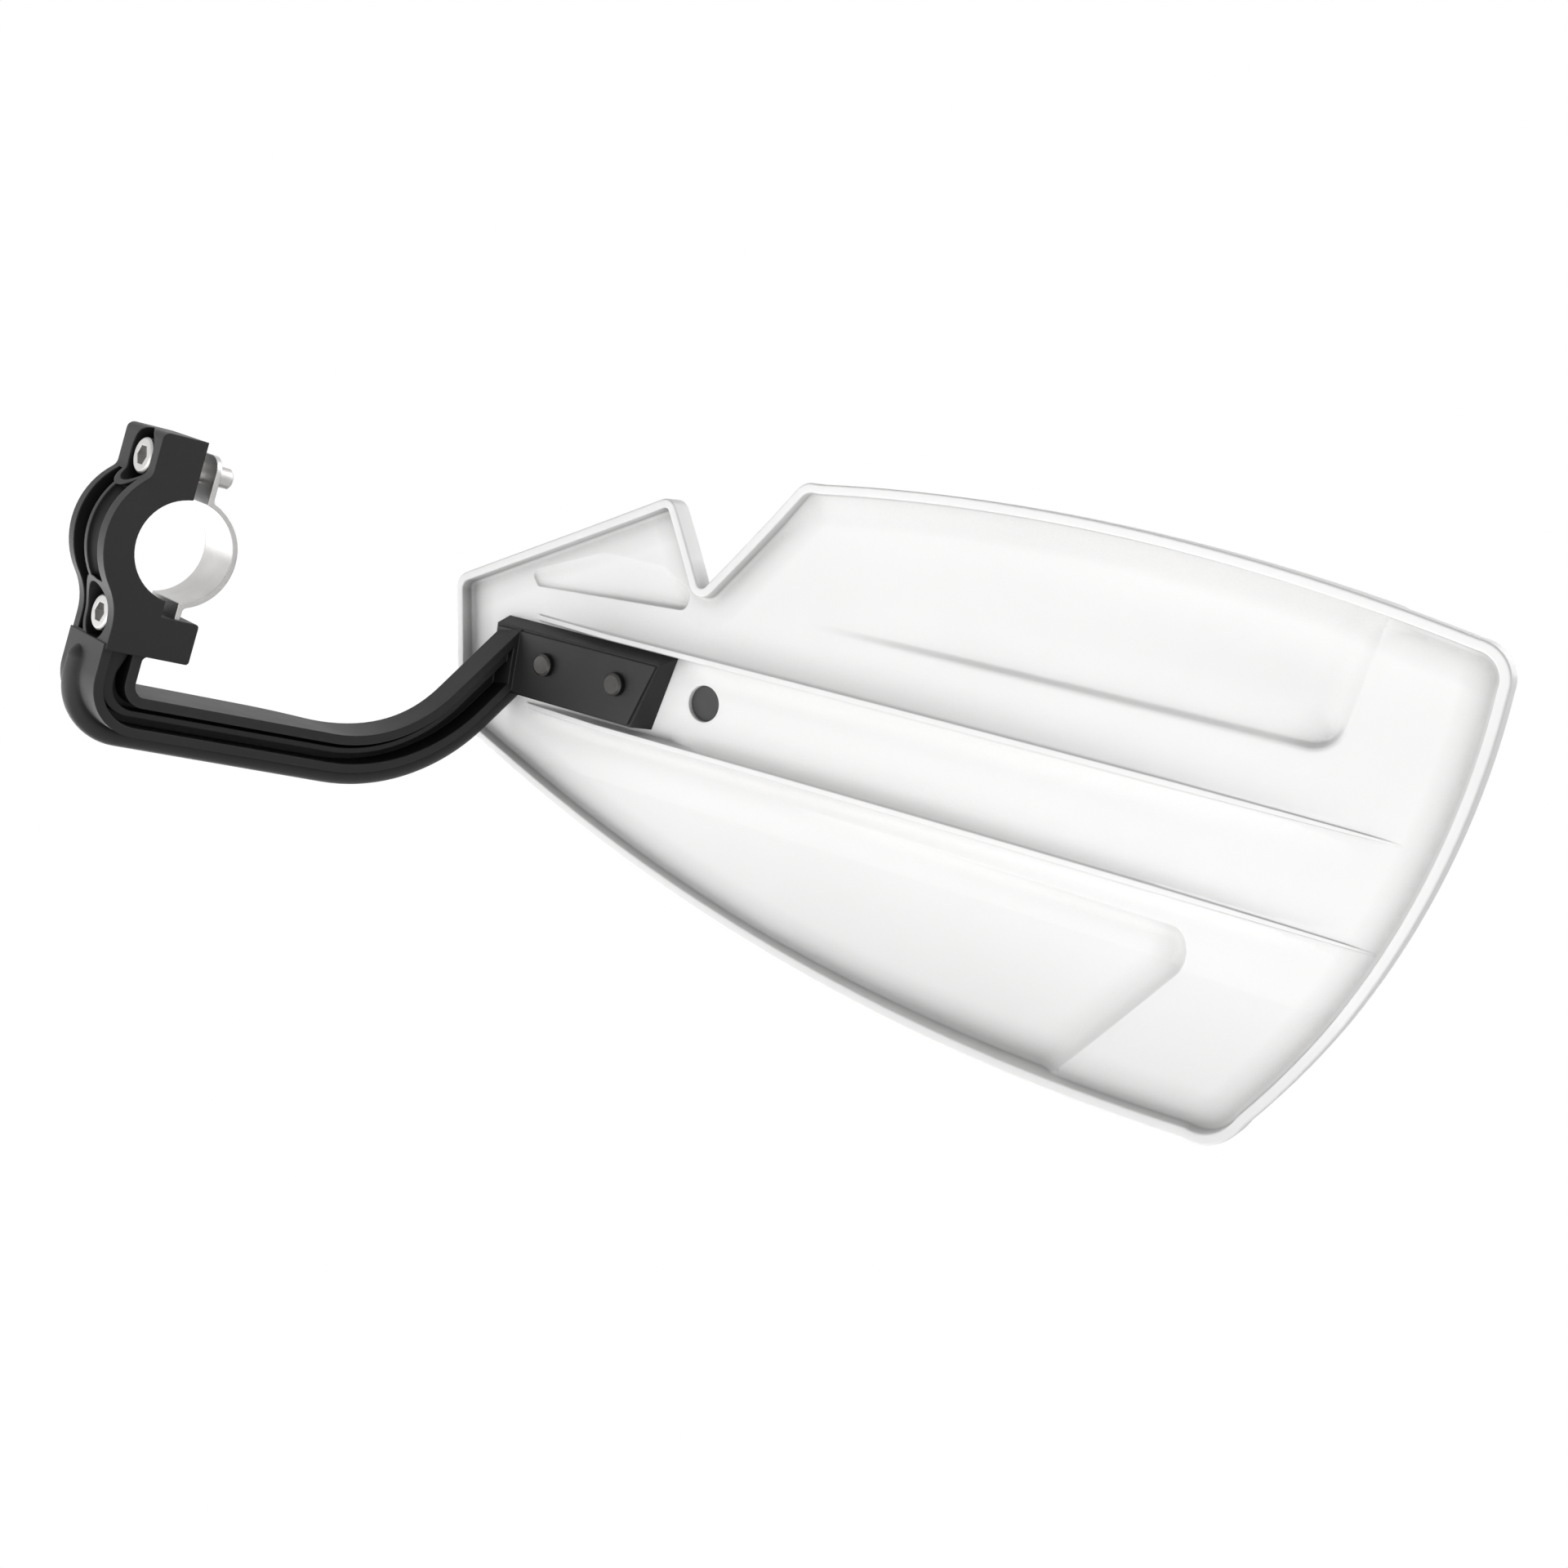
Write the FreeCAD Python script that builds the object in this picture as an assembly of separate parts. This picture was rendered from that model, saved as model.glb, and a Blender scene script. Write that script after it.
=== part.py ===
import FreeCAD, Part
import math
import os
from FreeCAD import Vector

# Motorcycle hand guard for one side of the bar. Millimetres.
# Origin: on the axis of the clamp bore, in the plane of the clamp screws.
# +X runs along the bar and outwards, +Y forwards (away from the rider), +Z up.

# how far cutting shapes reach past what they cut, and the height of upright cutting shapes
PAST = 12.0
TALL = 120.0

# handlebar clamp
BAR_D = 28.6
BLOCK_FRONT_X = 10.0
BLOCK_BACK_X = 12.8
BLOCK_HALF_Z = 30.4
BLOCK_TOP_FALL = 0.6
BLOCK_TOP_ROUND = 2.2
BLOCK_BACK_Y = 14.5
BLEND_TOP_R = 3.0
BLEND_LOW_R = 18.0
SPLIT_Y = 1.8
RING_WALL = 8.4
HOOK_OUT_Y = 9.5
HOOK_H = 11.7
HOOK_ROUND = 1.0
HOOK_INNER_ROUND = 0.8
HOOK_SET = 0.2
RIM_ROUND = 0.7

# steel strap that closes the clamp
STRAP_X = 16.3
STRAP_SHIFT_X = 0.55
STRAP_T = 1.5
UPPER_EAR_GAP = 5.0
LOWER_EAR_GAP = 4.5
UPPER_EAR_IN = 2.9
LOWER_EAR_IN = 3.8
EAR_ROUND = 5.0
SLOT_PLAY = 0.15

# clamp screws
SCREW_D = 6.0
SCREW_HEAD_D = 10.0
SCREW_HEAD_H = 5.6
SCREW_HEX = 5.0
HEX_DEPTH = 2.8
HEAD_BEVEL = 0.5
END_BEVEL = 0.6
SCREW_IN = 8.4
UPPER_SCREW_L = 20.4
LOWER_SCREW_L = 15.5
SCREW_PLAY = 0.2
POCKET_FLOOR_Y = 8.6
POCKET_R = 6.2
POCKET_REACH = 1.6
BLIND_WALL = 1.2

# lightening grooves round the back of the clamp
REAR_GROOVE = (-9.2, -2.1)
REAR_GROOVE_WALL = 2.9
FRONT_GROOVE = (-0.5, 6.1)
FRONT_GROOVE_WALL = 5.4
FRONT_GROOVE_ROUND = 2.6
REAR_GROOVE_ROUND = 0.6
GROOVE_TOP_Z = 17.0
GROOVE_LOW_Z = -13.2
SIDE_GROOVE_X = 6.0
POCKET_WALL = 1.5
END_WALL = 1.8

# arm: corner points in the Y-Z plane, each with its bend radius
BLOCK_LOW_Z = -BLOCK_HALF_Z
ARM_FRONT_SET = 0.8
LEG_IN_Y = -3.4
LEG_TOP_Z = BLOCK_LOW_Z + 1.4
INNER_PATH = ((LEG_IN_Y, LEG_TOP_Z, 0), (LEG_IN_Y, -41.9, 3.6), (86.0, -42.5, 47.0),
              (137.4, 28.9, 0))
OUTER_PATH = ((-14.9, LEG_TOP_Z, 0), (-14.9, -53.2, 14.7), (94.9, -54.2, 64.0), (153.0, 26.7, 0))
LEG_CORNER = 1.6
RIM_IN = 2.9
RIM_OUT = 2.7
TRAY_DEPTH = 2.0
TRAY_GAP = 0.3
GROOVE_DEPTH = 6.4
RIB_INNER = ((-6.7, BLOCK_LOW_Z - 1.0, 0), (-8.7, -36.6, 4.0), (-8.3, -46.2, 7.2),
             (87.6, -46.8, 50.0), (141.0, 26.2, 0))
RIB_OUTER = ((-11.9, BLOCK_LOW_Z - 5.6, 0), (-11.9, -47.9, 9.4), (88.7, -48.5, 52.6),
             (142.0, 24.6, 0))
TAPER_START_Y = 42.0
TAPER_END_Y = 98.0
TAPER_EASE = 0.42
TRAY_END = 1.6
ARM_END_BACK_X = 0.0

# round bead along the outside of the arm: its middle line, and how far that lies
# outside the arm's outer path (Y, Z) at the second bend and at the end
BEAD_R = 3.8
BEAD_X = -4.8
BEAD_Y = -13.3
BEAD_Z = -55.2
BEAD_BEND = (14.8, 60.0)
BEAD_START = 5.6
BEAD_RISE_X = (1.4, 3.6)
BEAD_TURN_BY = (3.2, -1.6)
BEAD_END_BY = (2.8, -2.0)

# where the mounting plate and the shield sit
PLATE_X = 21.4
PLATE_Y = 121.8
PLATE_Z = -5.9
PLATE_AT = Vector(PLATE_X, PLATE_Y, PLATE_Z)
SWEEP_FORWARD = 12.0
LEAN_BACK = 9.0
TWIST = 4.0

# mounting plate, drawn in its own frame (U out, V up, W to the rider)
PLATE_T = 7.0
PLATE_LEFT = -23.0
PLATE_TOP = 9.4
PLATE_LOW = -12.2
PLATE_PAST_TOP = 15.1
PLATE_PAST_LOW = 7.3
PLATE_FLARE = 2.2
PLATE_END_FLARE = 3.8
PLATE_LEFT_FLARE = 0.6
PLATE_LOW_FLARE = 0.2
PAD_STEP = 0.8

# reach of the boxes that trim the arm round the plate, along U and along V and W
TRIM_U = 80.0
TRIM_VW = 60.0

# shield fixings
PITCH = 29.2
SHIELD_SCREW_D = 5.0
SHIELD_HEAD_D = 9.5
SHIELD_HEAD_H = 2.8
SHIELD_HEX = 3.0
SHIELD_HEX_DEPTH = 1.8
SHIELD_SCREW_END_GAP = 1.0
INSERT_D = 7.2
INSERT_OUT = 2.5
INSERT_END = 1.0
INSERT_BEVEL = 0.7
WASHER_D = 12.0
WASHER_T = 1.0
WASHER_PLAY = 0.15
HOLE_PLAY = 0.25
PLUG_HOLE_D = 11.2
PLUG_RECESS = 1.6
PLUG_LIP = 1.6
PLUG_LIP_T = 1.2

# shield skin: flat by the plate, bending towards the rider past these lines
SKIN_T = 2.8
FLANGE_H = 4.6
RIM_T = 2.8
U_MIN = -60.0
U_FLAT = 60.0
U_MAX = 300.0
V_MIN = -80.0
V_CREASE = -32.5
V_FLAT = 40.0
V_MAX = 86.0
SWEEP_RISE = 12.7
LOW_SLANT = 4.75
LOW_RISE = 7.9
TOP_RISE = 3.8

# outer edge of the shield seen square on: corners with their radii, then arcs through three points
LEFT_LOW = (-36.5, -27.0, 6.0)
LEFT_TOP = (-45.4, 20.8, 6.0)
HORN_TIP = (38.6, 60.6, 4.2)
NOTCH = (53.6, 33.6, 2.0)
SLANT_TOP = (85.5, 71.9, 7.0)
TOP_ARC = ((91.0, 71.9), (171.0, 75.8), (277.5, 65.0))
TOP_CORNER = (284.4, 61.4)
RIGHT_ARC = ((286.4, 54.5), (280.1, 3.0), (251.4, -63.2))
LOW_CORNER = (245.9, -69.7)
LOW_ARC = ((237.2, -71.2), (98.0, -64.6), (-30.5, -29.4))

# ribs along the shield
RIB_V = (13.3, -14.7)
RIB_T = 1.7
RIB_H = 3.0
RIB_SUNK = 1.2
RIB_START = -13.0
RIB_RAMP = 34.0
RIB_END = 271.0

# concave roundings beside the ribs: widths, height and where the ones by the plate start
BLEND_OUTSIDE = (12.0, 6.0)
BLEND_BETWEEN = (8.0, 7.0)
BLEND_H = 2.0
BLEND_START = 48.0
BLEND_SUNK = 0.05

# stepped areas: corners with their radii, where the step starts and is full, and its depth
UPPER_STEP = ((84, 31, 6), (250, 31, 9), (259, 90, 0), (84, 90, 0))
UPPER_SPAN = (90, 255)
UPPER_DEEP = 3.6
LOWER_STEP = ((92, -22.6, 4), (92, -76, 0), (193, -76, 0), (226, -30, 9), (221, -22.6, 5))
LOWER_SPAN = (96, 225)
LOWER_DEEP = 4.2
HORN_STEP = ((-17, 27.6, 2), (-13.5, 23.2, 1.6), (46.4, 26.6, 3), (47.6, 32.5, 3), (36, 38.5, 6),
             (12, 38.8, 9))
HORN_SPAN = (-18, 47)
HORN_DEEP = 2.6

R_BORE = BAR_D / 2
R_BLOCK = R_BORE + RING_WALL
BLOCK_X = BLOCK_FRONT_X + BLOCK_BACK_X
SCREW_Z = BLOCK_HALF_Z - SCREW_IN
HOOK_TOP_Z = BLOCK_HALF_Z - HOOK_H
ARM_FRONT = BLOCK_FRONT_X - ARM_FRONT_SET
UPPER_EAR_Y = UPPER_EAR_GAP - SPLIT_Y
LOWER_EAR_Y = LOWER_EAR_GAP - SPLIT_Y
XAX = Vector(1, 0, 0)
YAX = Vector(0, 1, 0)
ZAX = Vector(0, 0, 1)


def box(x0, x1, y0, y1, z0, z1):
    return Part.makeBox(x1 - x0, y1 - y0, z1 - z0, Vector(x0, y0, z0))


def rod(r, h, at, way):
    return Part.makeCylinder(r, h, at, way)


def turn_points(a, b, c, r):
    """Where a bend of radius r leaves and joins the lines a-b and b-c, with its middle."""
    p = (a - b).normalize()
    q = (c - b).normalize()
    half = math.acos(max(-1.0, min(1.0, p.dot(q)))) / 2
    reach = r / math.tan(half)
    bis = (p + q).normalize()
    centre = b + bis * (r / math.sin(half))
    return b + p * reach, centre - bis * r, b + q * reach


def path_edges(pts, radii, closed=False):
    """Lines and arcs through corner points, each corner rounded to its radius."""
    n = len(pts)
    edges = []
    last = None
    first = None
    for i in range(n):
        r = radii[i]
        if r > 0 and (closed or 0 < i < n - 1):
            s, m, e = turn_points(pts[i - 1], pts[i], pts[(i + 1) % n], r)
        else:
            s = m = e = pts[i]
        if last is not None and last.distanceToPoint(s) > 1e-6:
            edges.append(Part.makeLine(last, s))
        if s is not e:
            edges.append(Part.Arc(s, m, e).toShape())
        if first is None:
            first = s
        last = e
    if closed and last.distanceToPoint(first) > 1e-6:
        edges.append(Part.makeLine(last, first))
    return edges


def face_of(edges):
    return Part.Face(Part.Wire(Part.__sortEdges__(edges)))


def yz(path, x, shift=0.0):
    """Corner points of an arm path at height x, moved sideways by shift."""
    flat = [Vector(0, p[0], p[1]) for p in path]
    out = []
    for i, p in enumerate(flat):
        ways = []
        if i > 0:
            ways.append((p - flat[i - 1]).normalize())
        if i < len(flat) - 1:
            ways.append((flat[i + 1] - p).normalize())
        sides = [Vector(0, -w.z, w.y) for w in ways]
        m = sides[0] if len(sides) == 1 else sides[0] + sides[1]
        m.normalize()
        k = shift / m.dot(sides[0])
        out.append(Vector(x, p.y + m.y * k, p.z + m.z * k))
    return out


def path_radii(path, shift=0.0):
    return [max(p[2] - shift, 0.6) if p[2] else 0 for p in path]


def band(low, low_shift, high, high_shift, x0, x1):
    """Solid between two arm paths, from x0 to x1. A positive shift moves to the inside."""
    a = yz(low, x0, low_shift)
    b = yz(high, x0, high_shift)
    edges = path_edges(a, path_radii(low, low_shift))
    edges += path_edges(b, path_radii(high, high_shift))
    edges.append(Part.makeLine(a[0], b[0]))
    edges.append(Part.makeLine(a[-1], b[-1]))
    return face_of(edges).extrude(Vector(x1 - x0, 0, 0))


def local(shape):
    """Move a shape drawn in the frame of the plate to its place on the machine."""
    f, b, t = (math.radians(k) for k in (SWEEP_FORWARD, LEAN_BACK, TWIST))
    u0 = Vector(math.cos(f), math.sin(f), 0)
    n0 = Vector(-math.sin(f), math.cos(f), 0)
    v0 = ZAX * math.cos(b) - n0 * math.sin(b)
    u = u0 * math.cos(t) + v0 * math.sin(t)
    v = v0 * math.cos(t) - u0 * math.sin(t)
    w = u.cross(v)
    m = FreeCAD.Matrix(u.x, v.x, w.x, PLATE_AT.x, u.y, v.y, w.y, PLATE_AT.y,
                       u.z, v.z, w.z, PLATE_AT.z, 0, 0, 0, 1)
    s = shape.copy()
    s.transformShape(m)
    return s


def block_profile():
    """Front outline of the clamp half: ring part, straight back and the hook."""
    b, h, s = BLOCK_BACK_Y, BLOCK_HALF_Z, SPLIT_Y
    back_h = h - BLOCK_TOP_FALL

    def blend(r):
        cy = b + r
        cz = math.sqrt((R_BLOCK + r) ** 2 - cy ** 2)
        k = R_BLOCK / (R_BLOCK + r)
        mid_y = cy - r * math.cos(math.atan2(cz * (1 - k), cy * (1 - k)) / 2)
        mid_z = cz - r * math.sin(math.atan2(cz * (1 - k), cy * (1 - k)) / 2)
        return cz, k * cy, k * cz, mid_y, mid_z

    tz, ty2, tz2, tym, tzm = blend(BLEND_TOP_R)
    lz, ly2, lz2, lym, lzm = blend(BLEND_LOW_R)
    corner = Vector(0, -s - HOOK_SET, -HOOK_TOP_Z)
    edges = [Part.Arc(Vector(0, -b, tz), Vector(0, -tym, tzm), Vector(0, -ty2, tz2)).toShape()]
    edges.append(Part.Arc(Vector(0, -ty2, tz2), Vector(0, -R_BLOCK, 0),
                          Vector(0, -ly2, -lz2)).toShape())
    edges.append(Part.Arc(Vector(0, -ly2, -lz2), Vector(0, -lym, -lzm),
                          Vector(0, -b, -lz)).toShape())
    rest = [Vector(0, -b, -lz), Vector(0, -b, -h), Vector(0, HOOK_OUT_Y, -h),
            Vector(0, HOOK_OUT_Y, -HOOK_TOP_Z), corner, Vector(0, -s, -R_BORE),
            Vector(0, -s, h), Vector(0, -b, back_h), Vector(0, -b, tz)]
    radii = [0, 0, HOOK_ROUND, HOOK_ROUND, HOOK_INNER_ROUND, 0, 0, BLOCK_TOP_ROUND, 0]
    edges += path_edges(rest, radii)
    return face_of(edges)


def pocket(sign, grow=0.0):
    """Slot-shaped screw pocket in the back of the clamp."""
    z = sign * SCREW_Z
    r = POCKET_R + grow
    d = BLOCK_BACK_Y + PAST - POCKET_FLOOR_Y
    at = -POCKET_FLOOR_Y - d
    a = rod(r, d, Vector(0, at, z + POCKET_REACH), YAX)
    b = rod(r, d, Vector(0, at, z - POCKET_REACH), YAX)
    c = box(-r, r, at, at + d, z - POCKET_REACH, z + POCKET_REACH)
    return a.fuse([b, c])


def groove(span, wall, corner):
    """Groove round the ring, its floor rounded into its sides, kept off the screw pockets."""
    x0, x1 = span
    low = R_BORE + wall
    far = R_BLOCK + PAST
    pts = [Vector(x0, far, 0), Vector(x0, low, 0), Vector(x1, low, 0), Vector(x1, far, 0)]
    ring = face_of(path_edges(pts, [0, corner, corner, 0], True)).revolve(Vector(), XAX, 360)
    window = box(x0, x1, -far, -SPLIT_Y - POCKET_WALL, GROOVE_LOW_Z, GROOVE_TOP_Z)
    return ring.common(window).cut(walls())


def walls():
    """Space kept solid round both screw pockets."""
    return pocket(1, POCKET_WALL).fuse(pocket(-1, POCKET_WALL))


def side_groove():
    """The rear groove's lower end, beside the lower screw."""
    x0 = REAR_GROOVE[0]
    low = END_WALL - BLOCK_HALF_Z
    slot = box(x0, x0 + SIDE_GROOVE_X, -R_BLOCK - PAST, -POCKET_FLOOR_Y, low, GROOVE_LOW_Z + 1)
    return slot.cut(walls())


def clamp_half():
    b = block_profile().extrude(Vector(BLOCK_X, 0, 0))
    b.translate(Vector(-BLOCK_BACK_X, 0, 0))
    edges = []
    for e in b.Edges:
        c = e.CenterOfMass
        if abs(c.x + BLOCK_BACK_X) < 1e-4 and c.y < -SPLIT_Y - 0.5 and c.z > BLOCK_LOW_Z + 0.5:
            edges.append(e)
    b = b.makeFillet(RIM_ROUND, edges)
    b = b.cut(rod(R_BORE, BLOCK_X + 2 * PAST, Vector(-BLOCK_BACK_X - PAST, 0, 0), XAX))
    b = b.cut(groove(REAR_GROOVE, REAR_GROOVE_WALL, REAR_GROOVE_ROUND))
    b = b.cut(groove(FRONT_GROOVE, FRONT_GROOVE_WALL, FRONT_GROOVE_ROUND))
    b = b.cut(side_groove())
    for sign in (1, -1):
        b = b.cut(pocket(sign))
        r = SCREW_D / 2 + SCREW_PLAY
        far = HOOK_OUT_Y - BLIND_WALL if sign < 0 else PAST
        b = b.cut(rod(r, far + BLOCK_BACK_Y, Vector(0, -BLOCK_BACK_Y, sign * SCREW_Z), YAX))
    x0 = STRAP_SHIFT_X - STRAP_X / 2 - SLOT_PLAY
    x1 = STRAP_SHIFT_X + STRAP_X / 2 + SLOT_PLAY
    slot = box(x0, x1, LOWER_EAR_Y - SLOT_PLAY, LOWER_EAR_Y + STRAP_T + SLOT_PLAY,
               LOWER_EAR_IN - BLOCK_HALF_Z - SLOT_PLAY, -HOOK_TOP_Z + 2)
    return b.cut(slot)


def back_cut():
    """Plan shape that thins the arm from the clamp to the plate."""
    x0 = -BLOCK_BACK_X
    x1 = ARM_END_BACK_X
    outside = x0 - PAST
    y_far = PLATE_AT.y + 4 * PAST
    reach = (TAPER_END_Y - TAPER_START_Y) * TAPER_EASE
    c = Part.BezierCurve()
    c.setPoles([Vector(x0, TAPER_START_Y, 0), Vector(x0, TAPER_START_Y + reach, 0),
                Vector(x1, TAPER_END_Y - reach, 0), Vector(x1, TAPER_END_Y, 0)])
    pts = [Vector(x1, TAPER_END_Y, 0), Vector(x1, y_far, 0), Vector(outside, y_far, 0),
           Vector(outside, TAPER_START_Y, 0), Vector(x0, TAPER_START_Y, 0)]
    edges = [c.toShape()]
    edges += [Part.makeLine(pts[i], pts[i + 1]) for i in range(4)]
    f = face_of(edges)
    f.translate(Vector(0, 0, BEAD_Z - 2 * PAST))
    return f.extrude(Vector(0, 0, TALL))


def bead():
    """Round bead: down the back of the arm, round the elbow and up to the plate."""
    pts = [Vector(BEAD_X, BEAD_Y, BLOCK_LOW_Z - BEAD_START), Vector(BEAD_X, BEAD_Y, BEAD_Z)]
    for corner, x, by in zip(OUTER_PATH[2:], BEAD_RISE_X, (BEAD_TURN_BY, BEAD_END_BY)):
        pts.append(Vector(x, corner[0] + by[0], corner[1] + by[1]))
    parts = [Part.makeSphere(BEAD_R, pts[0])]
    for e in path_edges(pts, [0, BEAD_BEND[0], BEAD_BEND[1], 0]):
        a, b = e.firstVertex().Point, e.lastVertex().Point
        cut = Part.Face(Part.Wire(Part.makeCircle(BEAD_R, a, e.tangentAt(e.FirstParameter))))
        if e.Curve.TypeId == "Part::GeomLine":
            parts.append(cut.extrude(b - a))
        else:
            turn = math.degrees(e.LastParameter - e.FirstParameter)
            parts.append(cut.revolve(e.Curve.Center, e.Curve.Axis, turn))
    return parts[0].fuse(parts[1:])


def loft(low, low_w, high, high_w):
    a = Part.makePolygon([Vector(u, v, low_w) for u, v in low + low[:1]])
    b = Part.makePolygon([Vector(u, v, high_w) for u, v in high + high[:1]])
    return Part.makeLoft([a, b], True, True)


def plate():
    """Mounting plate with sloping sides and a raised face, drawn in its own frame."""
    f = PLATE_FLARE
    p = PAD_STEP
    top_r = PITCH + PLATE_PAST_TOP
    low_r = PITCH + PLATE_PAST_LOW
    base_left = PLATE_LEFT - PLATE_LEFT_FLARE
    base_low = PLATE_LOW - PLATE_LOW_FLARE
    base = [(base_left, base_low), (low_r + PLATE_END_FLARE, base_low),
            (top_r + f, PLATE_TOP + f), (base_left, PLATE_TOP + f)]
    top = [(PLATE_LEFT, PLATE_LOW), (low_r, PLATE_LOW),
           (top_r, PLATE_TOP), (PLATE_LEFT, PLATE_TOP)]
    pad = [(PLATE_LEFT + p, PLATE_LOW + p), (low_r - p, PLATE_LOW + p),
           (top_r - p, PLATE_TOP - p), (PLATE_LEFT + p, PLATE_TOP - p)]
    body = loft(base, -PLATE_T, top, -p)
    return body.fuse(loft(pad, -p - 0.5, pad, 0.0))


def leg_corner():
    """Concave rounding where the leg's inner face meets the block."""
    y, z, r, sunk = LEG_IN_Y, BLOCK_LOW_Z, LEG_CORNER, 0.5
    k = r * (1 - math.sqrt(0.5))
    pts = [Vector(0, y, z - r), Vector(0, y - sunk, z - r), Vector(0, y - sunk, z + sunk),
           Vector(0, y + r, z + sunk), Vector(0, y + r, z)]
    edges = [Part.makeLine(pts[i], pts[i + 1]) for i in range(4)]
    edges.append(Part.Arc(pts[4], Vector(0, y + k, z - k), pts[0]).toShape())
    piece = face_of(edges).extrude(Vector(BLOCK_BACK_X + ARM_FRONT, 0, 0))
    piece.translate(Vector(-BLOCK_BACK_X, 0, 0))
    return piece


def arm():
    front = band(OUTER_PATH, 0.0, INNER_PATH, 0.0, -BLOCK_BACK_X, ARM_FRONT)
    leg = front.fuse([bead(), leg_corner()]).cut(back_cut())
    tray = band(OUTER_PATH, RIM_OUT, INNER_PATH, -RIM_IN, ARM_FRONT - TRAY_DEPTH, ARM_FRONT + 1)
    deep = ARM_FRONT - GROOVE_DEPTH
    one = band(RIB_INNER, 0.0, INNER_PATH, -RIM_IN, deep, ARM_FRONT + 1)
    two = band(OUTER_PATH, RIM_OUT, RIB_OUTER, 0.0, deep, ARM_FRONT + 1)
    under = box(-BLOCK_BACK_X, BLOCK_FRONT_X, -R_BLOCK, 0, BLOCK_LOW_Z - TRAY_GAP, -HOOK_TOP_Z)
    near = local(box(-TRIM_U, TRIM_U, -TRIM_VW, TRIM_VW, -TRIM_VW, TRAY_END))
    hollow = tray.fuse([one, two]).cut(under).cut(near)
    leg = leg.cut(hollow)
    leg = leg.cut(local(box(-TRIM_U, TRIM_U, -TRIM_VW, TRIM_VW, -TRIM_VW, -PLATE_T)))
    leg = leg.cut(local(box(-TRIM_U, TRIM_U, PLATE_TOP, TRIM_VW, -TRIM_VW, TRIM_VW)))
    whole = leg.fuse(clamp_half()).fuse(local(plate()))
    for i in range(2):
        at = Vector(i * PITCH, 0, -PLATE_T - 10)
        whole = whole.cut(local(rod(INSERT_D / 2, PLATE_T + 20, at, ZAX)))
    return whole.removeSplitter()


def strap():
    """Stamped steel strap: half ring with two flat ears, threaded for the screws."""
    x0 = STRAP_SHIFT_X - STRAP_X / 2
    x1 = x0 + STRAP_X
    r = R_BORE + STRAP_T
    ring = rod(r, STRAP_X, Vector(x0, 0, 0), XAX)
    upper = ring.common(box(x0, x1, UPPER_EAR_Y, r + 1, 0, r + 1))
    lower = ring.common(box(x0, x1, LOWER_EAR_Y, r + 1, -r - 1, 0))
    tip = BLOCK_HALF_Z - UPPER_EAR_IN
    up = box(x0, x1, UPPER_EAR_Y, UPPER_EAR_Y + STRAP_T, R_BORE - 1, tip)
    corners = [e for e in up.Edges if abs(e.CenterOfMass.z - tip) < 1e-6
               and abs(e.CenterOfMass.y - UPPER_EAR_Y - STRAP_T / 2) < 1e-6]
    up = up.makeFillet(EAR_ROUND, corners)
    down = box(x0, x1, LOWER_EAR_Y, LOWER_EAR_Y + STRAP_T, LOWER_EAR_IN - BLOCK_HALF_Z, 1 - R_BORE)
    s = upper.fuse([lower, up, down]).removeSplitter()
    bends = []
    for ear_y in (UPPER_EAR_Y + STRAP_T, LOWER_EAR_Y + STRAP_T):
        turn_z = math.sqrt(r * r - ear_y ** 2)
        for e in s.Edges:
            c = e.CenterOfMass
            if abs(c.y - ear_y) < 1e-3 and abs(abs(c.z) - turn_z) < 0.01:
                bends.append(e)
    s = s.makeFillet(STRAP_T, bends)
    s = s.cut(rod(R_BORE, STRAP_X + 2 * PAST, Vector(x0 - PAST, 0, 0), XAX))
    for z in (SCREW_Z, -SCREW_Z):
        s = s.cut(rod(SCREW_D / 2, 2 * PAST, Vector(0, -PAST, z), YAX))
    return s


def hexagon(across, depth, at, way):
    r = across / math.sqrt(3)
    pts = [Vector(r * math.cos(k * math.pi / 3), r * math.sin(k * math.pi / 3), 0)
           for k in range(7)]
    h = Part.Face(Part.makePolygon(pts)).extrude(Vector(0, 0, depth))
    h.Placement = FreeCAD.Placement(at, FreeCAD.Rotation(ZAX, way))
    return h


def clamp_screw(z, length):
    """Socket cap screw, head towards the rider."""
    seat = -POCKET_FLOOR_Y
    top = seat - SCREW_HEAD_H
    head = rod(SCREW_HEAD_D / 2, SCREW_HEAD_H, Vector(0, top, z), YAX)
    rim = [e for e in head.Edges if abs(e.CenterOfMass.y - top) < 1e-6]
    head = head.makeChamfer(HEAD_BEVEL, rim)
    shank = rod(SCREW_D / 2, length, Vector(0, seat, z), YAX)
    end = [e for e in shank.Edges if abs(e.CenterOfMass.y - seat - length) < 1e-6]
    shank = shank.makeChamfer(END_BEVEL, end)
    s = head.fuse(shank)
    return s.cut(hexagon(SCREW_HEX, HEX_DEPTH, Vector(0, top, z), YAX))


def bend_u(u):
    return SWEEP_RISE * (max(u - U_FLAT, 0.0) / (U_MAX - U_FLAT)) ** 2


def bend_v(v):
    low = max(V_CREASE - v, 0.0) / (V_CREASE - V_MIN)
    top = max(v - V_FLAT, 0.0) / (V_MAX - V_FLAT)
    return LOW_SLANT * low + LOW_RISE * low * low + TOP_RISE * top * top


def net(bend, a, b):
    """Control heights of a parabola between a and b."""
    ends = bend(a), bend(b)
    return ends[0], 2 * bend((a + b) / 2) - sum(ends) / 2, ends[1]


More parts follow.
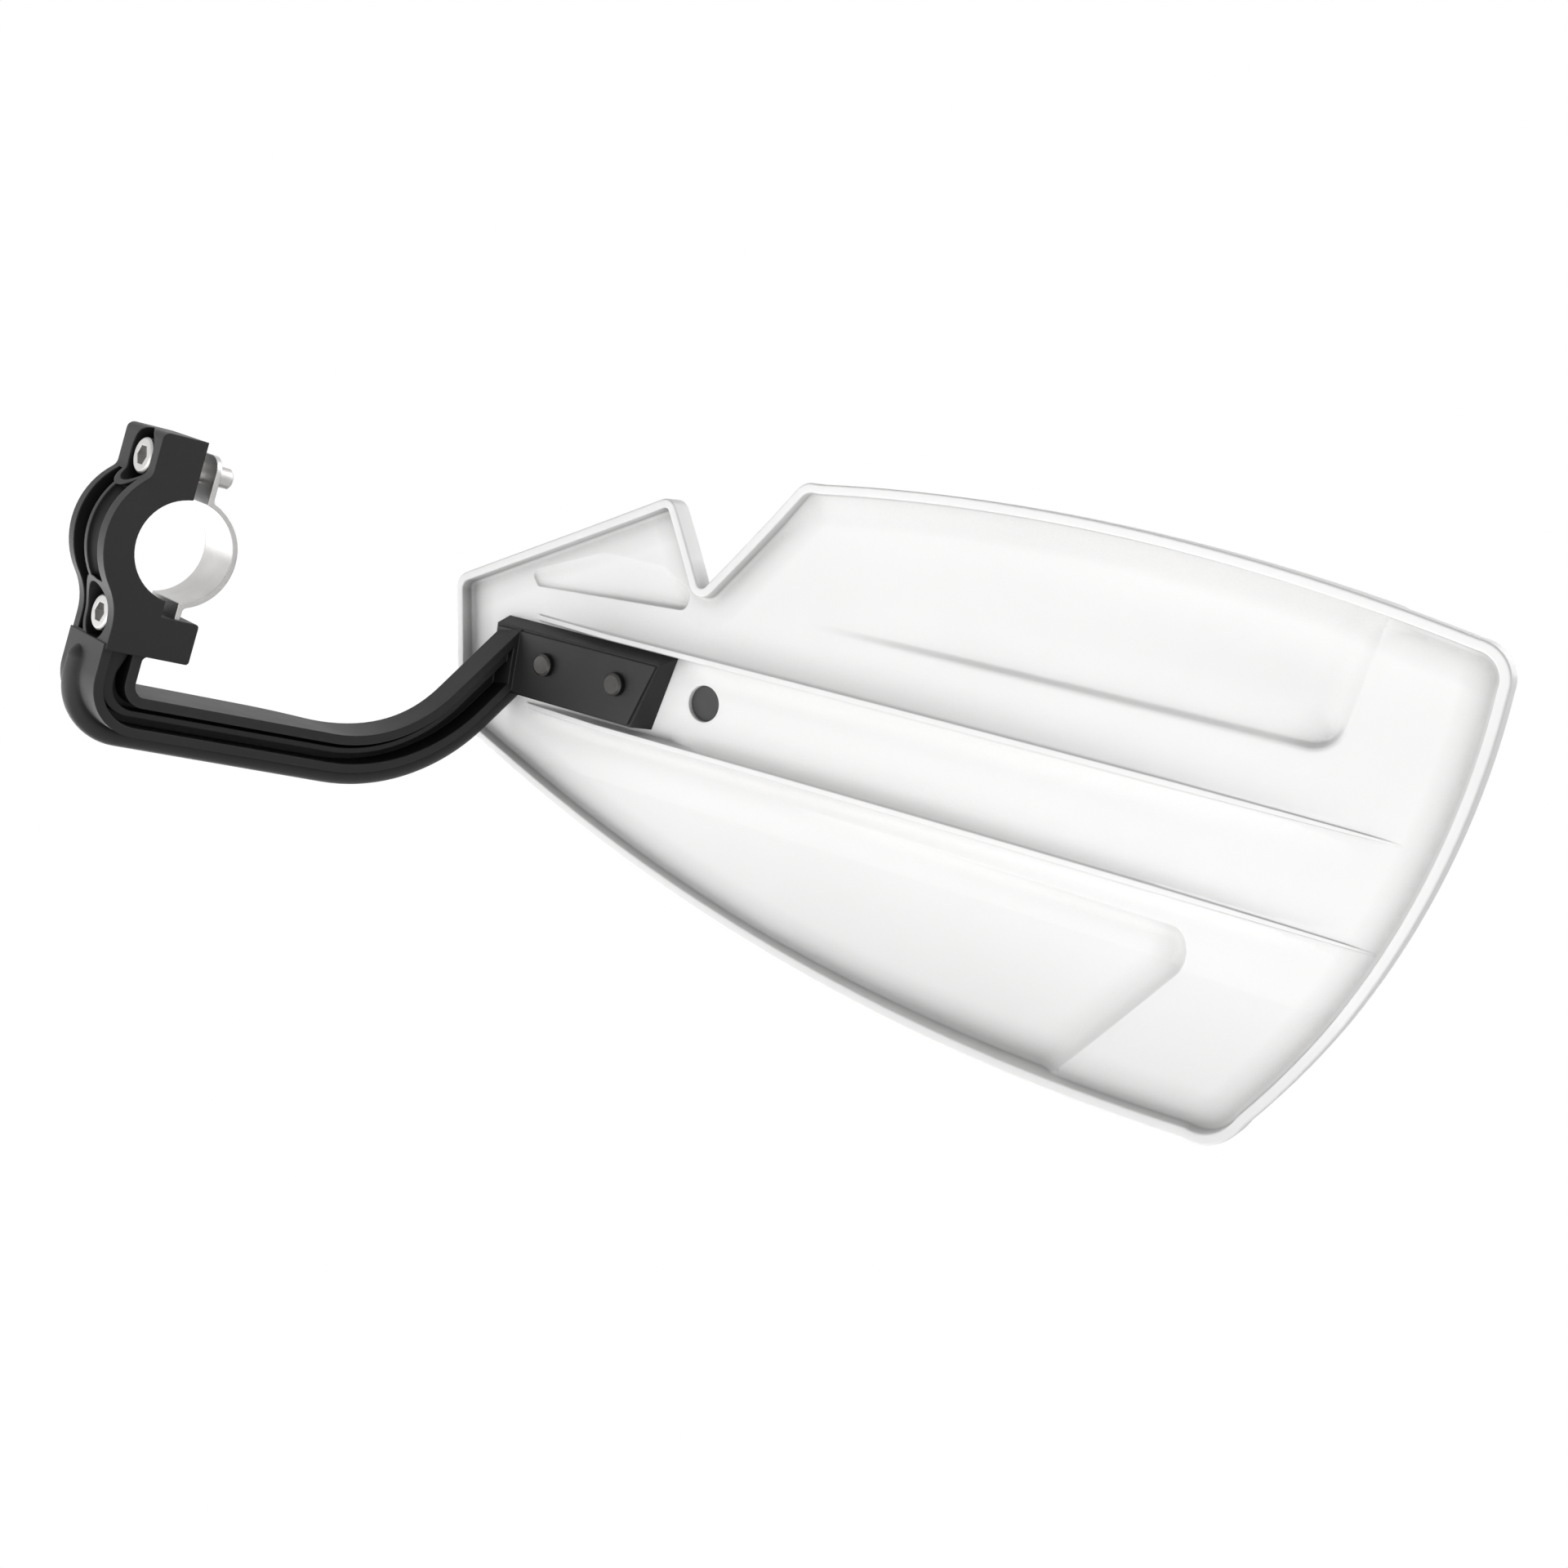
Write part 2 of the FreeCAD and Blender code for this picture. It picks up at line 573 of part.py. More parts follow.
def sheet(u0, u1, v0, v1, heights):
    """Parabolic surface over a rectangle from its nine control heights."""
    poles = [[Vector(u0 + (u1 - u0) * i / 2, v0 + (v1 - v0) * j / 2, heights[i][j])
              for j in range(3)] for i in range(3)]
    s = Part.BSplineSurface()
    s.buildFromPolesMultsKnots(poles, [3, 3], [3, 3], [0, 1], [0, 1], False, False, 2, 2)
    return s.toShape()


def patch(u0, u1, v0, v1, w):
    """One piece of the skin surface at offset w."""
    net_u = net(bend_u, u0, u1)
    net_v = net(bend_v, v0, v1)
    return sheet(u0, u1, v0, v1, [[w + a + b for b in net_v] for a in net_u])


def slab(low, high):
    """Slice of space that follows the skin, between two offsets."""
    us = (U_MIN, U_FLAT, U_MAX)
    vs = (V_MIN, V_CREASE, V_FLAT, V_MAX)
    parts = []
    for i in range(2):
        for j in range(3):
            f = patch(us[i], us[i + 1], vs[j], vs[j + 1], low)
            parts.append(f.extrude(Vector(0, 0, high - low)))
    return parts[0].fuse(parts[1:]).removeSplitter()


def outline():
    """Outer edge of the shield seen square on."""
    def p(at):
        return Vector(at[0], at[1], -TALL / 2)

    def arc(a, mid, b):
        return Part.Arc(p(a), p(mid), p(b)).toShape()

    corners = (LEFT_LOW, LEFT_TOP, HORN_TIP, NOTCH, SLANT_TOP)
    pts = [p(LOW_ARC[2])] + [p(c) for c in corners] + [p(TOP_ARC[0])]
    edges = path_edges(pts, [0] + [c[2] for c in corners] + [0])
    edges += [arc(*TOP_ARC), arc(TOP_ARC[2], TOP_CORNER, RIGHT_ARC[0]), arc(*RIGHT_ARC),
              arc(RIGHT_ARC[2], LOW_CORNER, LOW_ARC[0]), arc(*LOW_ARC)]
    return Part.Wire(Part.__sortEdges__(edges))


def wedge_slab(span, deep, low, high):
    """Like the slab, but sinking forward along the span."""
    u0, u1 = span
    fall = deep / (u1 - u0)
    s = slab(low, high)
    m = FreeCAD.Matrix(1, 0, 0, 0, 0, 1, 0, 0, -fall, 0, 1, fall * u0, 0, 0, 0, 1)
    return s.transformGeometry(m)


def shield_rib(v):
    """Straight rib that rises out of the skin and dies into its bend at the outer end."""
    w0 = -PLATE_T
    share = 1 - RIB_H / bend_u(RIB_END)
    top = [Vector(RIB_START, 0, w0 - 0.2), Vector(RIB_START + RIB_RAMP, 0, w0 + RIB_H),
           Vector(U_FLAT, 0, w0 + RIB_H)]
    span = RIB_END + RIM_T - U_FLAT
    c = Part.BezierCurve()
    end_w = w0 + RIB_H + share * bend_u(U_FLAT + span)
    c.setPoles([top[2], Vector(U_FLAT + span / 2, 0, w0 + RIB_H), Vector(U_FLAT + span, 0, end_w)])
    d = Part.BezierCurve()
    low_w = w0 - RIB_SUNK
    d.setPoles([Vector(U_FLAT, 0, low_w), Vector(U_FLAT + span / 2, 0, low_w),
                Vector(U_FLAT + span, 0, low_w + bend_u(U_FLAT + span))])
    edges = [Part.makeLine(top[0], top[1]), Part.makeLine(top[1], top[2]), c.toShape(),
             Part.makeLine(c.EndPoint, d.EndPoint), d.toShape(),
             Part.makeLine(d.StartPoint, Vector(RIB_START, 0, low_w)),
             Part.makeLine(Vector(RIB_START, 0, low_w), top[0])]
    f = face_of(edges)
    f.translate(Vector(0, v - RIB_T / 2, 0))
    return f.extrude(Vector(0, RIB_T, 0))


def rib_share(u, start, ramp):
    """How much of its full height a rib has at u."""
    if u > U_FLAT:
        return 1 - bend_u(u) / bend_u(RIB_END)
    return min((u - start) / ramp, 1.0)


def rib_blend(v, side, wide, start, ramp):
    """Concave rounding from a rib's flank down to the skin."""
    v0 = v + side * (RIB_T / 2 - 0.3)
    v1 = v + side * (RIB_T / 2 + wide)
    base = -PLATE_T - BLEND_SUNK
    us = sorted({start, start + ramp, U_FLAT, RIB_END})
    parts = []
    for a, b in zip(us, us[1:]):
        tall = net(lambda u: rib_share(u, start, ramp), a, b)
        lift = net(bend_u, a, b)
        heights = [[base + lift[i] + BLEND_H * tall[i], base + lift[i], base + lift[i]]
                   for i in range(3)]
        parts.append(sheet(a, b, v0, v1, heights).extrude(Vector(0, 0, -BLEND_H - 0.4)))
    return parts[0].fuse(parts[1:]).removeSplitter()


def step(corners, span, deep):
    """The skin to add below and the space to clear above where one area is sunk forward."""
    flat = [Vector(u, v, -TALL / 2) for u, v, r in corners]
    edge = Part.Wire(path_edges(flat, [c[2] for c in corners], True))
    tall = Vector(0, 0, TALL)
    back = -PLATE_T - SKIN_T
    wide = Part.Face(edge.makeOffset2D(RIM_T)).extrude(tall)
    add = wide.common(wedge_slab(span, deep, back, back + deep + RIB_SUNK))
    take = Part.Face(edge).extrude(tall).common(wedge_slab(span, deep, -PLATE_T, 40))
    return add, take


def shield():
    edge = outline()
    tall = Vector(0, 0, TALL)
    full = Part.Face(edge).extrude(tall)
    inner = Part.Face(edge.makeOffset2D(-RIM_T)).extrude(tall)
    w = -PLATE_T
    body = full.common(slab(w - SKIN_T, w + FLANGE_H))
    steps = [step(UPPER_STEP, UPPER_SPAN, UPPER_DEEP), step(LOWER_STEP, LOWER_SPAN, LOWER_DEEP),
             step(HORN_STEP, HORN_SPAN, HORN_DEEP)]
    for add, take in steps:
        body = body.fuse(add)
    body = body.common(full)
    body = body.cut(inner.common(slab(w, w + 40)))
    for add, take in steps:
        body = body.cut(take.common(inner))
    for i, v in enumerate(RIB_V):
        side = 1 - 2 * i
        outside = rib_blend(v, side, BLEND_OUTSIDE[i], RIB_START, RIB_RAMP)
        between = rib_blend(v, -side, BLEND_BETWEEN[i], BLEND_START, U_FLAT - BLEND_START)
        body = body.fuse([shield_rib(v).common(inner), outside, between])
    for i in range(2):
        r = SHIELD_SCREW_D / 2 + HOLE_PLAY
        body = body.cut(rod(r, 30, Vector(i * PITCH, 0, w - 20), ZAX))
    body = body.cut(rod(PLUG_HOLE_D / 2, 30, Vector(2 * PITCH, 0, w - 20), ZAX))
    return body.removeSplitter()


def washer(i):
    at = Vector(i * PITCH, 0, -PLATE_T - SKIN_T - WASHER_T)
    ring = rod(WASHER_D / 2, WASHER_T, at, ZAX)
    return ring.cut(rod(SHIELD_SCREW_D / 2 + WASHER_PLAY, WASHER_T, at, ZAX))


def shield_screw(i):
    """Button head screw put in from the front of the shield."""
    seat = -PLATE_T - SKIN_T - WASHER_T
    top = seat - SHIELD_HEAD_H
    head = rod(SHIELD_HEAD_D / 2, SHIELD_HEAD_H, Vector(i * PITCH, 0, top), ZAX)
    edge = [e for e in head.Edges if abs(e.CenterOfMass.z - top) < 1e-6]
    head = head.makeChamfer(SHIELD_HEAD_H / 2, edge)
    length = -seat + INSERT_OUT - INSERT_END - SHIELD_SCREW_END_GAP
    s = head.fuse(rod(SHIELD_SCREW_D / 2, length, Vector(i * PITCH, 0, seat), ZAX))
    return s.cut(hexagon(SHIELD_HEX, SHIELD_HEX_DEPTH, Vector(i * PITCH, 0, top), ZAX))


def insert(i):
    """Closed threaded insert, its end standing out of the plate towards the rider."""
    h = PLATE_T + INSERT_OUT
    s = rod(INSERT_D / 2, h, Vector(i * PITCH, 0, -PLATE_T), ZAX)
    end = [e for e in s.Edges if abs(e.CenterOfMass.z - INSERT_OUT) < 1e-6]
    s = s.makeChamfer(INSERT_BEVEL, end)
    return s.cut(rod(SHIELD_SCREW_D / 2, h - INSERT_END, Vector(i * PITCH, 0, -PLATE_T), ZAX))


def plug():
    """Rubber blanking plug in the spare hole, its face sunk below the skin."""
    low = -PLATE_T - SKIN_T
    r = PLUG_HOLE_D / 2
    at = Vector(2 * PITCH, 0, low)
    s = rod(r, SKIN_T - PLUG_RECESS, at, ZAX)
    lip = rod(r + PLUG_LIP, PLUG_LIP_T, at - ZAX * PLUG_LIP_T, ZAX)
    edge = [e for e in lip.Edges if abs(e.CenterOfMass.z - low + PLUG_LIP_T) < 1e-6]
    return s.fuse(lip.makeChamfer(PLUG_LIP_T / 2, edge))


def save(name, shape):
    if not shape.isValid():
        raise RuntimeError(name + " is not a valid solid")
    solids = shape.Solids
    if len(solids) != 1:
        raise RuntimeError("%s has %d solids" % (name, len(solids)))
    solids[0].exportStep("parts/" + name + ".step")
    print(name, round(solids[0].Volume, 1), len(solids[0].Faces))


os.makedirs("parts", exist_ok=True)
save("arm", arm())
save("clamp_strap", strap())
save("clamp_screw_upper", clamp_screw(SCREW_Z, UPPER_SCREW_L))
save("clamp_screw_lower", clamp_screw(-SCREW_Z, LOWER_SCREW_L))
save("shield", local(shield()))
for i, side in enumerate(("inner", "outer")):
    save("plate_insert_" + side, local(insert(i)))
    save("shield_washer_" + side, local(washer(i)))
    save("shield_screw_" + side, local(shield_screw(i)))
save("shield_hole_plug", local(plug()))
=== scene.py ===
import math

import bpy
import numpy as np
from mathutils import Matrix, Vector
from mathutils.geometry import delaunay_2d_cdt

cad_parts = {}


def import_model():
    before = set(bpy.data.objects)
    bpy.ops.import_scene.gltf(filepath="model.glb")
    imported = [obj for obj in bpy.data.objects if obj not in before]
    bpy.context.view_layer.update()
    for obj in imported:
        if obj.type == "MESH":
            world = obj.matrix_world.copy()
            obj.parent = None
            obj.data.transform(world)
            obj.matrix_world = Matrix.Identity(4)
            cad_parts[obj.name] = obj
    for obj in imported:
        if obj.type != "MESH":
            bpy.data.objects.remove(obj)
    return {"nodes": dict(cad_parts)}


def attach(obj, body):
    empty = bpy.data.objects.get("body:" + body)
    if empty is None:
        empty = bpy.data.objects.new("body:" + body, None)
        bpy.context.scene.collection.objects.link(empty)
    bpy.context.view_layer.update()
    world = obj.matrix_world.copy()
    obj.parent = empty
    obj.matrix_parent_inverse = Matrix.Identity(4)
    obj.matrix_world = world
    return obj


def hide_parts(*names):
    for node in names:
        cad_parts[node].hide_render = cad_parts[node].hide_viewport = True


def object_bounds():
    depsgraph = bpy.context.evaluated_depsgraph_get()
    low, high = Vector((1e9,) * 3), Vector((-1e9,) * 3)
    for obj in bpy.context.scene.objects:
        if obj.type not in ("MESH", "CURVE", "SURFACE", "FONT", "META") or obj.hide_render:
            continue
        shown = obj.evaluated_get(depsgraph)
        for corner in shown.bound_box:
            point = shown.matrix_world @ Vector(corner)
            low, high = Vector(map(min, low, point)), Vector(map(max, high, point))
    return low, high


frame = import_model()
cad_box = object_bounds()

# camera fitted to the clamp, the arm and the plate: place, then its right, down and forward directions
CAMERA_AT = Vector((0.4518, -0.2297, 0.0365))
CAMERA_RIGHT = Vector((0.6879232, 0.6605947, 0.3006264))
CAMERA_DOWN = Vector((0.2889779, 0.1306591, -0.9483775))
CAMERA_AHEAD = Vector((-0.6657728, 0.7392853, -0.1010139))
LENS_MM = 39.375
SENSOR_MM = 36.0

# floor: how far under the part it lies and half its side, in metres
FLOOR_DROP = 0.9
FLOOR_HALF = 9.0

# studio light: soft lamps low round the rider's side, a weak one a little above the bar and one high
# behind the shield, each with its turn from +X and its lift in degrees, its distance, its side and watts
AMBIENT = 0.12
LIT_POINT = Vector((0.12, 0.08, 0.0))
LAMPS = {
    "low_inner": (170, -36, 1.35, 1.1, 7.5),
    "low_left": (225, -32, 1.35, 1.1, 8.5),
    "rider": (266, -18, 1.4, 1.1, 8.5),
    "low_outer": (320, -28, 1.35, 1.1, 7),
    "high_left": (228, 12, 1.7, 1.1, 2),
    "behind": (70, 40, 1.7, 1.4, 22),
}

# plastics get painted shade in hollows, where an ambient occlusion node darkens their colour: how far
# around counts, in metres, and the least share of colour left
PAINTED_SHADE_REACH = 0.010
PAINTED_SHADE_LEAST = 0.06

# shield, in the frame of the arm's plate (u out, v up, w to the rider), in millimetres and degrees
PLATE_AT = (21.4, 121.8, -5.9)
SWEEP, LEAN, TWIST = 12.0, 9.0, 4.0
SEAT_W = -7.0
SKIN_T = 2.8
FRONT_ROUND = 0.5

# holes: place along u and radius
HOLES = ((0.0, 2.75), (29.2, 2.75), (58.4, 5.6))
HOLE_ROUND = 0.35

# the skin bends to the rider towards its free end, below the crease and at its top
SWEEP_FROM, SWEEP_TO, SWEEP_RISE = 60.0, 300.0, 12.7
CREASE_V, LOW_REACH, LOW_SLOPE, LOW_RISE = -33.0, 47.5, 4.75, 7.9
TOP_FROM, TOP_REACH, TOP_RISE = 40.0, 46.0, 3.8

# outline: three-point arcs, and the corners (u, v, radius) of the inner end with the notch and the horn
LOW_ARC = ((237.2, -71.2), (98.0, -64.6), (-30.5, -29.4))
INNER_CORNERS = ((-36.5, -27.0, 6.0), (-45.4, 20.8, 6.0), (38.6, 60.6, 4.2), (53.6, 33.6, 2.0),
                 (85.5, 71.9, 7.0))
TOP_ARC = ((91.0, 71.9), (171.0, 75.8), (277.5, 65.0))
TOP_CORNER = (284.4, 61.4)
RIGHT_ARC = ((286.4, 54.5), (280.1, 3.0), (251.4, -63.2))
LOW_CORNER = (245.9, -69.7)

# rim: its height, and how far from the edge its flat top ends and its inner wall starts and ends
RIM_H = 4.6
RIM_OUTER_ROUND = 0.7
RIM_FLAT, RIM_EDGE, RIM_FOOT = 2.3, 2.75, 2.95
# concave foot inside the rim: height and reach, and what both gain in the soft zone at the shield's top
FOOT_H, FOOT_REACH = 0.8, 1.4
SOFT_H, SOFT_REACH = 1.6, 7.6
SOFT_V, SOFT_FROM_U, SOFT_TO_U = (34, 52), (74, 96), (250, 262)

# ribs: middle line at u = 0 and its slope, then the widths of the blends above and below
RIBS = ((13.3, 0.0, 12.0, 8.0), (-16.0, 0.0074, 7.0, 5.5))
RIB_HALF = 0.9
RIB_H = 4.0
RIB_ROUND = 0.3
RIB_FOOT = 1.6
BLEND_H = 2.9
RIB_START, RIB_RAMP, RIB_END = -13.0, 34.0, 271.0
RIB_TIP, RIB_TAPER = 0.25, 60.0
PLATE_END_U = 48.0

# pockets: outlines as corners (u, v, radius), then depths, with where along u each starts and is reached
POCKETS = {
    "upper": ((84, 31, 6), (250, 31, 9), (259, 90, 0), (84, 90, 0)),
    "lower": ((92, -22.6, 4), (92, -90, 0), (182.6, -90, 0), (226, -30, 9), (221, -22.6, 5)),
    "horn": ((-17, 27.6, 2), (-13.5, 23.2, 1.6), (46.4, 26.6, 3), (47.6, 32.5, 3), (36, 38.5, 6),
             (12, 38.8, 9)),
}
SINK = {"upper": (3.6, 90, 255), "lower": (4.2, 96, 225), "horn": (2.2, -18, 47)}
# how far a pocket's concave wall foot reaches
WALL_REACH = {"upper": 11, "lower": 5.6, "horn": 2.2}
# upper pocket: what its low strip sinks along u, where it sinks fully up v, and a dip along the rib
UPPER_STEPS = ((1.3, 84, 112), (2.3, 232, 256))
UPPER_FULL_V = (36, 62)
DIP, DIP_V, DIP_U = 0.35, (32, 44), (90, 130)
# its edge is a soft step along the rib and turns into a sharp wall further up
SOFT_STEP = (-1.3, 1.5)
SHARP_V = (31.5, 39)
# horn pocket: depth at its inner end, what it gains along u, and its floor's rise up v to the skin
HORN_DEPTH, HORN_GAIN, HORN_GAIN_U = 0.9, 1.3, (-17, 47)
HORN_RISE_V = 14.5
# on the front side a pocket's wall starts and ends this far from its edge, outwards below zero
FRONT_WALL = (-SKIN_T - 0.8, -SKIN_T + 1.6)

# curves: most turn of one side in degrees, and the longest sides of corners and of the outline's arcs
SIDE_TURN = 12
CORNER_SIDE, LONG_ARC_SIDE, RIGHT_ARC_SIDE = 1.0, 8, 5
SHORTEST_SIDE = 0.05
# drop of a surface for each millimetre beyond a rounded edge
STEEP = 30

# triangles of the shield: a grid, what it keeps off, and the lines drawn beside each edge of the form
GRID = 1.3
GRID_U, GRID_V = (-50, 292), (-78, 80)
RIM_ZONE = 4.2
GRID_FROM_EDGE = RIM_ZONE + 0.4 * GRID
GRID_FROM_LINE = 0.5 * GRID
LINE_STOP = 4.6
RIM_LINES = (0, 0.1, 0.3, 0.7, 1.5, RIM_FLAT, 2.5, 2.65, RIM_EDGE, RIM_FOOT, 3.4, RIM_ZONE)
HOLE_LINES = (0, 0.1, HOLE_ROUND, 1.0)
HOLE_ZONE = 1.5
HOLE_STEPS = 48
RIB_LINES = (0, 0.5, 0.62, RIB_HALF, RIB_FOOT, 1.8, 2.4, 3.3)
RIB_U = (RIB_START - 4, RIB_END + 0.1)
CREASE_LINES = (-0.3, 0, 0.3)
CREASE_U = (-60, 300)
POCKET_LINES = (-3.6, -2.8, -2.0, -1.2, -0.25, 0.0, 0.25, 0.8)
SAME_POINT = 1e-5
LEAST_AREA = 1e-7


def lin(v):
    """Linear value of a tone from 0 to 255."""
    c = v / 255
    return c / 12.92 if c <= 0.04045 else ((c + 0.055) / 1.055) ** 2.4


def grey(v, warm=0.0):
    return (lin(v + warm), lin(v), lin(v - warm), 1.0)


def camera():
    data = bpy.data.cameras.new("photo_camera")
    data.lens = LENS_MM
    data.sensor_width = SENSOR_MM
    data.clip_start = 0.01
    data.clip_end = 50
    obj = bpy.data.objects.new("photo_camera", data)
    m = Matrix.Identity(4)
    for i, axis in enumerate((CAMERA_RIGHT, -CAMERA_DOWN, -CAMERA_AHEAD)):
        for row in range(3):
            m[row][i] = axis[row]
    m.translation = CAMERA_AT
    obj.matrix_world = m
    bpy.context.scene.collection.objects.link(obj)
    bpy.context.scene.camera = obj


class Nodes:
    """Short hand for building one node material."""

    def __init__(self, name):
        self.mat = bpy.data.materials.new(name)
        self.mat.use_nodes = True
        self.tree = self.mat.node_tree
        self.bsdf = self.tree.nodes["Principled BSDF"]
        self.out = self.tree.nodes["Material Output"]

    def add(self, kind, **values):
        n = self.tree.nodes.new(kind)
        for k, v in values.items():
            if k in n.inputs:
                n.inputs[k].default_value = v
            else:
                setattr(n, k, v)
        return n

    def link(self, a, b):
        self.tree.links.new(a, b)

    def noise(self, scale, detail=3.0):
        n = self.add("ShaderNodeTexNoise", Scale=scale, Detail=detail)
        self.link(self.add("ShaderNodeTexCoord").outputs["Object"], n.inputs["Vector"])
        return n.outputs["Fac"]

    def tones(self, scale, dark, light, warm=0.0):
        """A colour that wanders between two tones of grey."""
        r = self.add("ShaderNodeValToRGB")
        for slot, at, tone in zip(r.color_ramp.elements, (0.3, 0.7), (dark, light)):
            slot.position = at
            slot.color = grey(tone, warm)
        self.link(self.noise(scale), r.inputs["Fac"])
        return r.outputs["Color"]

    def roughness(self, scale, low, high):
        m = self.add("ShaderNodeMapRange")
        m.inputs["To Min"].default_value = low
        m.inputs["To Max"].default_value = high
        self.link(self.noise(scale), m.inputs["Value"])
        self.link(m.outputs["Result"], self.bsdf.inputs["Roughness"])

    def relief(self, scale, strength, distance=0.0002, edge=0.0):
        """Fine grain; edge rounds the piece's sharp edges by that many metres."""
        b = self.add("ShaderNodeBump", Strength=strength, Distance=distance)
        self.link(self.noise(scale, 2.0), b.inputs["Height"])
        if edge:
            soft = self.add("ShaderNodeBevel", samples=6)
            soft.inputs["Radius"].default_value = edge
            self.link(soft.outputs["Normal"], b.inputs["Normal"])
        self.link(b.outputs["Normal"], self.bsdf.inputs["Normal"])

    def painted_hollow_shade(self, colour, shut):
        """The colour with painted shade, darkened in hollows by ambient occlusion; shut is the open share
        of the surroundings where it is darkest.
        """
        ao = self.add("ShaderNodeAmbientOcclusion", samples=8, only_local=True)
        ao.inputs["Distance"].default_value = PAINTED_SHADE_REACH
        share = self.add("ShaderNodeMapRange")
        share.inputs["From Min"].default_value = shut
        share.inputs["To Min"].default_value = PAINTED_SHADE_LEAST
        self.link(ao.outputs["AO"], share.inputs["Value"])
        shade = self.add("ShaderNodeMixRGB", blend_type="MULTIPLY")
        shade.inputs["Fac"].default_value = 1.0
        self.link(colour, shade.inputs["Color1"])
        self.link(share.outputs["Result"], shade.inputs["Color2"])
        return shade.outputs["Color"]

    def set(self, **values):
        for k, v in values.items():
            self.bsdf.inputs[k.replace("_", " ")].default_value = v


def white_plastic():
    m = Nodes("white_plastic")
    # painted shade: the white plastic's colour is darkened in its hollows
    m.link(m.painted_hollow_shade(m.tones(9.0, 243, 247, warm=0.5), shut=0.24), m.bsdf.inputs["Base Color"])
    m.roughness(60.0, 0.42, 0.52)
    m.set(IOR=1.5, Specular_IOR_Level=0.3)
    m.set(Subsurface_Weight=0.3, Subsurface_Radius=(1.0, 1.0, 1.0), Subsurface_Scale=0.0022)
    m.relief(1800.0, strength=0.05)
    return m.mat


def black_plastic():
    m = Nodes("black_plastic")
    # painted shade: the black plastic's colour is darkened in its hollows
    m.link(m.painted_hollow_shade(m.tones(30.0, 34, 39), shut=0.2), m.bsdf.inputs["Base Color"])
    m.roughness(90.0, 0.42, 0.54)
    m.set(IOR=1.5, Specular_IOR_Level=0.28)
    m.relief(2600.0, strength=0.12, edge=0.0006)
    return m.mat


def steel(name, tone, rough):
    m = Nodes(name)
    m.link(m.tones(120.0, tone - 6, tone + 4, warm=1), m.bsdf.inputs["Base Color"])
    m.roughness(400.0, rough - 0.05, rough + 0.08)
    m.set(Metallic=1.0)
    m.relief(3000.0, strength=0.06, distance=0.0001, edge=0.0004)
    return m.mat


def rubber():
    m = Nodes("rubber")
    m.link(m.tones(80.0, 58, 66), m.bsdf.inputs["Base Color"])
    m.roughness(200.0, 0.6, 0.75)
    m.relief(3000.0, strength=0.1)
    return m.mat


def dress(material, *nodes):
    for n in nodes:
        mesh = frame["nodes"][n].data
        mesh.materials.clear()
        mesh.materials.append(material)


def sides_of(turn, r, spacing):
    """How many sides draw a turn in radians on a circle of radius r."""
    return max(3, math.ceil(turn * r / spacing), math.ceil(math.degrees(turn) / SIDE_TURN))


def rounded(corners, spacing=CORNER_SIDE):
    """Points along a closed outline whose corners (x, y, radius) are rounded."""
    n = len(corners)
    out = []
    for i, (x, y, r) in enumerate(corners):
        at = np.array((x, y), float)
        if r == 0:
            out.append(at)
            continue
        p = np.array(corners[i - 1][:2], float) - at
        q = np.array(corners[(i + 1) % n][:2], float) - at
        p /= np.linalg.norm(p)
        q /= np.linalg.norm(q)
        half = math.acos(np.clip(p @ q, -1, 1)) / 2
        middle = at + (p + q) / np.linalg.norm(p + q) * r / math.sin(half)
        a = at + p * r / math.tan(half) - middle
        b = at + q * r / math.tan(half) - middle
        turn = math.pi - 2 * half
        steps = sides_of(turn, r, spacing)
        for k in range(steps + 1):
            t = k / steps
            out.append(middle + (a * math.sin((1 - t) * turn) + b * math.sin(t * turn)) / math.sin(turn))
    return out


def arc(a, m, b, spacing=CORNER_SIDE):
    """Points on the circle through three points, from a to b."""
    a, m, b = (np.array(p, float) for p in (a, m, b))
    rows = 2 * np.array((m - a, b - a))
    centre = np.linalg.solve(rows, (m @ m - a @ a, b @ b - a @ a))
    angle = [math.atan2(*(p - centre)[::-1]) for p in (a, m, b)]
    span = (angle[2] - angle[0]) % (2 * math.pi)
    if (angle[1] - angle[0]) % (2 * math.pi) > span:
        span -= 2 * math.pi
    r = np.linalg.norm(a - centre)
    steps = sides_of(abs(span), r, spacing)
    turn = angle[0] + span * np.arange(steps + 1) / steps
    return list(centre + r * np.column_stack((np.cos(turn), np.sin(turn))))


def evened(points):
    """The same closed line with long sides split and doubled points left out."""
    out = []
    for p, q in zip(points, points[1:] + points[:1]):
        length = np.linalg.norm(q - p)
        if length < SHORTEST_SIDE:
            continue
        steps = max(1, round(length / GRID))
        out += [p + (q - p) * k / steps for k in range(steps)]
    return np.array(out)


def shield_edge():
    """The shield's outline, from the low edge's inner end round by the horn, the top and the free end."""
    first = [LOW_ARC[2] + (0,), *INNER_CORNERS, TOP_ARC[0] + (0,)]
    line = rounded(first)
    line += arc(*TOP_ARC, LONG_ARC_SIDE) + arc(TOP_ARC[2], TOP_CORNER, RIGHT_ARC[0])
    line += arc(*RIGHT_ARC, RIGHT_ARC_SIDE) + arc(RIGHT_ARC[2], LOW_CORNER, LOW_ARC[0])
    line += arc(*LOW_ARC, LONG_ARC_SIDE)
    return evened(line)


